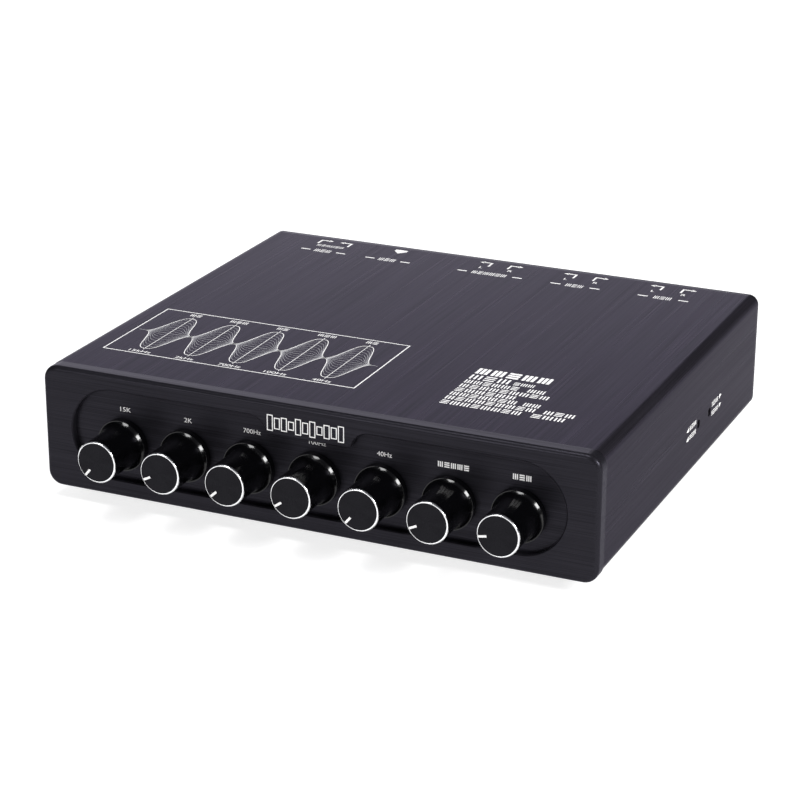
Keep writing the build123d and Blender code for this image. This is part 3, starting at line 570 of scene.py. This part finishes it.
def print_rear_edge(page):
    print_bracket(page, SUPPLY_LEFT_LEG, 1)
    print_bracket(page, SUPPLY_RIGHT_LEG, -1)
    page.greeked(*SUPPLY_WORD, SUPPLY_CELL, SUPPLY_SHARE)
    print_caption(page, *SUPPLY_CAPTION)
    page.polygon(list(SWITCH_SIGN))
    print_caption(page, *SWITCH_CAPTION)
    for middle, width, span in CONNECTOR_CAPTIONS:
        print_bracket(page, middle - CHANNEL_LEG, -1)
        print_bracket(page, middle + CHANNEL_LEG, 1)
        for letter, left, letter_width in CHANNELS:
            page.text(letter, middle + left, CHANNEL_NEAR, letter_width, CHANNEL_HEIGHT)
        print_caption(page, middle, width, span)


def print_top():
    frame_lines, fine_lines = print_diagram()
    specifications = Print()
    print_specifications(specifications)
    rear_edge = Print()
    print_rear_edge(rear_edge)
    origin = Vector((0, PANEL_FRONT, case_high.z))
    frame_lines.build("top_diagram", origin, RIGHT, BACK, white_ink)
    fine_lines.build("top_diagram_curves", origin, RIGHT, BACK, grey_ink)
    specifications.build("top_greeked_text", origin, RIGHT, BACK, white_ink)
    rear_edge.build("top_connector_marks", origin, RIGHT, BACK, white_ink)


# =====================================================================
# printing beside the two holes in the right side, in millimetres behind
# the front and above the bottom of the front panel
# =====================================================================
SIDE_ROWS = (18.9, 23.1)  # low edge of each row
SIDE_WORDS = (117.2, 148.9)  # near end of each word
SIDE_WORD_WIDTH = 9.4
SIDE_WORD_CELL = 2.3
SIDE_HEIGHT = 2.2
SIDE_ARROWS = ((116.0, 112.8, 0.6), (159.6, 162.8, 1.6))  # foot, tip, and height of the tip


def print_side():
    page = Print()
    for low in SIDE_ROWS:
        for near in SIDE_WORDS:
            page.greeked(near, low, SIDE_WORD_WIDTH, SIDE_HEIGHT, SIDE_WORD_CELL)
        for foot, tip, rise in SIDE_ARROWS:
            page.polygon([(foot, low), (foot, low + SIDE_HEIGHT), (tip, low + rise)])
    origin = Vector((case_high.x, PANEL_FRONT, PANEL_BOTTOM))
    page.build("side_switch_marks", origin, BACK, UP, white_ink)


# =====================================================================
# printing on the front: band labels in the pocket and a motif on the tab
# =====================================================================
LABELS = (("15K", 5.1), ("2K", 3.7), ("700Hz", 8.0), ("100Hz", 7.6), ("40Hz", 6.6))
LABEL_SHIFT = 0.8  # labels stand to the right of their control
LABEL_LOW = 38.05
LABEL_HEIGHT = 1.95
GREEKED_LABELS = (  # control, left from its middle, low edge, width and height
    (5, -5.7, LABEL_LOW - 0.1, 14.0, 2.3),
    (6, -3.5, LABEL_LOW, 8.4, 2.4),
)
GREEKED_CELL = 2.8
GREEKED_SHARE = 0.24


def control_x(k):
    """Middle of a control, counted from 0 at the left, in millimetres."""
    low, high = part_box(KNOBS[k])
    return (low.x + high.x) / 2 / MM


def print_front():
    page = Print()
    for k, (words, width) in enumerate(LABELS):
        left = control_x(k) + LABEL_SHIFT - width / 2
        page.text(words, left, LABEL_LOW, width, LABEL_HEIGHT)
    for k, left, low, width, height in GREEKED_LABELS:
        page.greeked(control_x(k) + left, low, width, height, GREEKED_CELL, GREEKED_SHARE)
    origin = Vector((0, PANEL_FRONT + POCKET_DEPTH, PANEL_BOTTOM))
    page.build("front_labels", origin, RIGHT, UP, white_ink)


MOTIF_LEFT = -18.6
MOTIF_WIDTH = 35.2
MOTIF_BARS = 11
MOTIF_GAP = 0.9  # between two bars
MOTIF_LINE = 0.42
MOTIF_LOW = 42.4
MOTIF_HEIGHTS = (6.6, 4.6, 5.6, 3.4)  # from each end of the row inward


def print_motif():
    """Outlined level bars on the tab."""
    page = Print()
    pitch = MOTIF_WIDTH / MOTIF_BARS
    middle = MOTIF_LOW + max(MOTIF_HEIGHTS) / 2
    for k in range(MOTIF_BARS):
        left = MOTIF_LEFT + k * pitch
        half = MOTIF_HEIGHTS[min(k, MOTIF_BARS - 1 - k) % len(MOTIF_HEIGHTS)] / 2
        right = left + pitch - MOTIF_GAP
        low = middle - half
        high = middle + half
        outline = [(left, low), (right, low), (right, high), (left, high)]
        page.stroke(outline, MOTIF_LINE, closed=True)
    origin = Vector((0, PANEL_FRONT, PANEL_BOTTOM))
    page.build("tab_motif", origin, RIGHT, UP, white_ink)


# =====================================================================
# painted shade for the cross recesses of the screws: flat black crosses on the heads
# =====================================================================
CROSS_SPAN = 3.0
CROSS_WIDTH = 0.75
SAME_SCREW = 6 * MM  # points nearer than this belong to one head


def head_centres(node, outward):
    """Middle of each screw head of a node, on the plane that faces outward."""
    points = [vertex.co for vertex in frame["nodes"][node].data.vertices]
    reach = max(point.dot(outward) for point in points)
    heads = []
    for point in points:
        if reach - point.dot(outward) > INK:
            continue
        near = [head for head in heads if (head[0] - point).length < SAME_SCREW]
        if near:
            near[0].append(point)
        else:
            heads.append([point])
    return [sum(head, Vector()) / len(head) for head in heads]


# lays a flat near-black cross on each screw head: painted shade in place of the recess's hollow
def mark_screws(node, right, up):
    half = CROSS_SPAN / 2
    side = CROSS_WIDTH / 2
    cross = [
        (-half, -side), (-side, -side), (-side, -half),
        (side, -half), (side, -side), (half, -side),
        (half, side), (side, side), (side, half),
        (-side, half), (-side, side), (-half, side),
    ]
    outward = Vector(right).cross(Vector(up))
    for count, centre in enumerate(head_centres(node, outward)):
        page = Print()
        page.polygon(cross)
        page.build(f"{node}_cross_{count + 1}", centre, right, up, LOOKS["recess_painted_shade"])


# =====================================================================
# knobs: cut ring on the bevel, turned face and pointer
# =====================================================================
KNOB_NECK = 9.1  # radius of the end of the knob
KNOB_BEVEL = 0.7
KNOB_EDGE = KNOB_NECK - KNOB_BEVEL
RING_SKIN = 0.028  # how far the ring stands out from the bevel
RING_PROFILE = (  # radius, and depth behind the end of the knob
    (KNOB_NECK + RING_SKIN, KNOB_BEVEL),
    (KNOB_EDGE + RING_SKIN, 0.0),
    (KNOB_EDGE, 0.06),
    (KNOB_NECK - 0.05, KNOB_BEVEL),
)
FACE_RADIUS = 8.29
FACE_DEPTH = 0.1  # recess of the face behind the end of the knob
FACE_HALF = 0.03  # half the thickness of the face
POINTER_START = 4.8
POINTER_WIDTH = 1.0
POINTER_PLAY = 0.02  # on each side of the pointer in its slot
POINTER_TOP = FACE_DEPTH - 0.06
POINTER_BOTTOM = 0.28
POINTER_ANGLES = (220, 244, 227.5, 235.5, 220.5, 245, 259)  # clockwise from the top
ROUND = 96  # steps around a knob
DIRECTIONS = [
    (math.cos(2 * math.pi * step / ROUND), math.sin(2 * math.pi * step / ROUND))
    for step in range(ROUND)
]


def make_ring(name, centre, body):
    """Bright closed ring over the bevel of a knob."""
    points = []
    faces = []
    count = len(RING_PROFILE)
    for step, (cosine, sine) in enumerate(DIRECTIONS):
        for radius, depth in RING_PROFILE:
            points.append((radius * cosine * MM, depth * MM, radius * sine * MM))
        here = step * count
        after = (step + 1) % ROUND * count
        for k in range(count):
            n = (k + 1) % count
            faces.append((here + k, here + n, after + n, after + k))
    ring = mesh_object(name, points, faces, LOOKS["cut_ring"], body, smooth=True)
    ring.location = centre


def make_face(name, centre, body):
    """Thin turned disc at the end of a knob."""
    rim = [(FACE_RADIUS * cosine * MM, FACE_RADIUS * sine * MM) for cosine, sine in DIRECTIONS]
    front = [(x, (FACE_DEPTH - FACE_HALF) * MM, z) for x, z in rim]
    back = [(x, (FACE_DEPTH + FACE_HALF) * MM, z) for x, z in rim]
    faces = [list(range(ROUND)), list(range(2 * ROUND - 1, ROUND - 1, -1))]
    for k in range(ROUND):
        n = (k + 1) % ROUND
        faces.append([n, k, k + ROUND, n + ROUND])
    face = mesh_object(name, front + back, faces, LOOKS["turned_face"], body)
    face.location = centre


def make_pointer(name, centre, angle, body):
    """White line from inside the face out to the ring; angle is clockwise from the top."""
    half = POINTER_WIDTH / 2 - POINTER_PLAY
    along = Vector((math.sin(angle), 0, math.cos(angle)))
    across = Vector((math.cos(angle), 0, -math.sin(angle)))
    outline = (
        (POINTER_START, -half), (KNOB_EDGE, -half), (KNOB_EDGE, half), (POINTER_START, half),
    )
    points = []
    for depth in (POINTER_TOP, POINTER_BOTTOM):
        for reach, side in outline:
            points.append((along * reach + across * side + Vector((0, depth, 0))) * MM)
    faces = [(0, 1, 2, 3), (7, 6, 5, 4), (0, 4, 5, 1), (1, 5, 6, 2), (2, 6, 7, 3), (3, 7, 4, 0)]
    pointer = mesh_object(name, points, faces, white_ink, body)
    pointer.location = centre


def make_knob_details():
    for k, knob in enumerate(KNOBS):
        low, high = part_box(knob)
        centre = Vector(((low.x + high.x) / 2, low.y, (low.z + high.z) / 2))
        body = f"control_{k + 1}"
        make_ring(f"ring_{k + 1}", centre, body)
        make_face(f"face_{k + 1}", centre, body)
        make_pointer(f"pointer_{k + 1}", centre, math.radians(POINTER_ANGLES[k]), body)


# =====================================================================
# studio
# =====================================================================
def area_light(name, place, target, size, power):
    data = bpy.data.lights.new(name, "AREA")
    data.shape = "RECTANGLE"
    data.size, data.size_y = size
    data.energy = power
    light = bpy.data.objects.new(name, data)
    aim = Vector(target) - Vector(place)
    turn = aim.to_track_quat("-Z", "Y").to_matrix().to_4x4()
    light.matrix_world = Matrix.Translation(place) @ turn
    light.visible_camera = False
    bpy.context.scene.collection.objects.link(light)


FLOOR_HALF = 12.0  # half the side of the floor
FLOOR_GAP = 0.05 * MM  # keeps the floor from lying in the plane of the feet
FLOOR_GLOW = 0.78


def make_floor():
    look = Look("floor", (0.5, 0.5, 0.5), roughness=0.9, specular=0.1)
    look.vary_colour(look.noise([80] * 3), depth=0.01)
    look.shader.inputs["Emission Color"].default_value = (1, 1, 1, 1)
    look.shader.inputs["Emission Strength"].default_value = FLOOR_GLOW
    level = CAD_BOX[0].z - FLOOR_GAP
    signs = ((-1, -1), (1, -1), (1, 1), (-1, 1))
    corners = [(x * FLOOR_HALF, y * FLOOR_HALF, level) for x, y in signs]
    mesh = bpy.data.meshes.new("floor")
    mesh.from_pydata(corners, [], [(0, 1, 2, 3)])
    mesh.materials.append(look.material)
    floor = bpy.data.objects.new("floor", mesh)
    bpy.context.scene.collection.objects.link(floor)


ROOM_COLOUR = (0.9, 0.92, 1.0)
ROOM_STRENGTH = 0.14  # of the room that lights the object; the camera sees it white


def make_world():
    world = bpy.data.worlds.new("studio")
    world.use_nodes = True
    nodes = world.node_tree.nodes
    links = world.node_tree.links
    room = nodes["Background"]
    room.inputs["Color"].default_value = (*ROOM_COLOUR, 1)
    room.inputs["Strength"].default_value = ROOM_STRENGTH
    backdrop = nodes.new("ShaderNodeBackground")
    backdrop.inputs["Color"].default_value = (1, 1, 1, 1)
    choice = nodes.new("ShaderNodeMixShader")
    path = nodes.new("ShaderNodeLightPath")
    links.new(path.outputs["Is Camera Ray"], choice.inputs["Fac"])
    links.new(room.outputs["Background"], choice.inputs[1])
    links.new(backdrop.outputs["Background"], choice.inputs[2])
    links.new(choice.outputs["Shader"], nodes["World Output"].inputs["Surface"])
    bpy.context.scene.world = world


LIGHTS = (  # name, place, target and size in metres, and power in watts
    ("backdrop_light", (-1.6, 2.6, 1.0), (0, 0, 0.05), (2.4, 1.5), 33),
    ("knob_light", (1.7, -0.40, 1.0), (0, -0.1, 0.03), (0.75, 0.6), 40),
    ("top_light", (-0.35, -0.45, 2.4), (0, 0, 0), (0.8, 0.8), 26),
    ("front_light", (-0.9, -2.2, 1.0), (0, 0, 0.03), (1.0, 0.8), 14),
)


def make_lights():
    for light in LIGHTS:
        area_light(*light)


make_camera()
dress_cad_nodes()
print_top()
print_side()
print_front()
print_motif()
mark_screws("rear_screws", (-1, 0, 0), (0, 0, 1))
mark_screws("jack_screws", (-1, 0, 0), (0, 0, 1))
mark_screws("foot_screws", (1, 0, 0), (0, -1, 0))
make_knob_details()
make_floor()
make_world()
make_lights()
bpy.context.scene.view_settings.view_transform = "Standard"
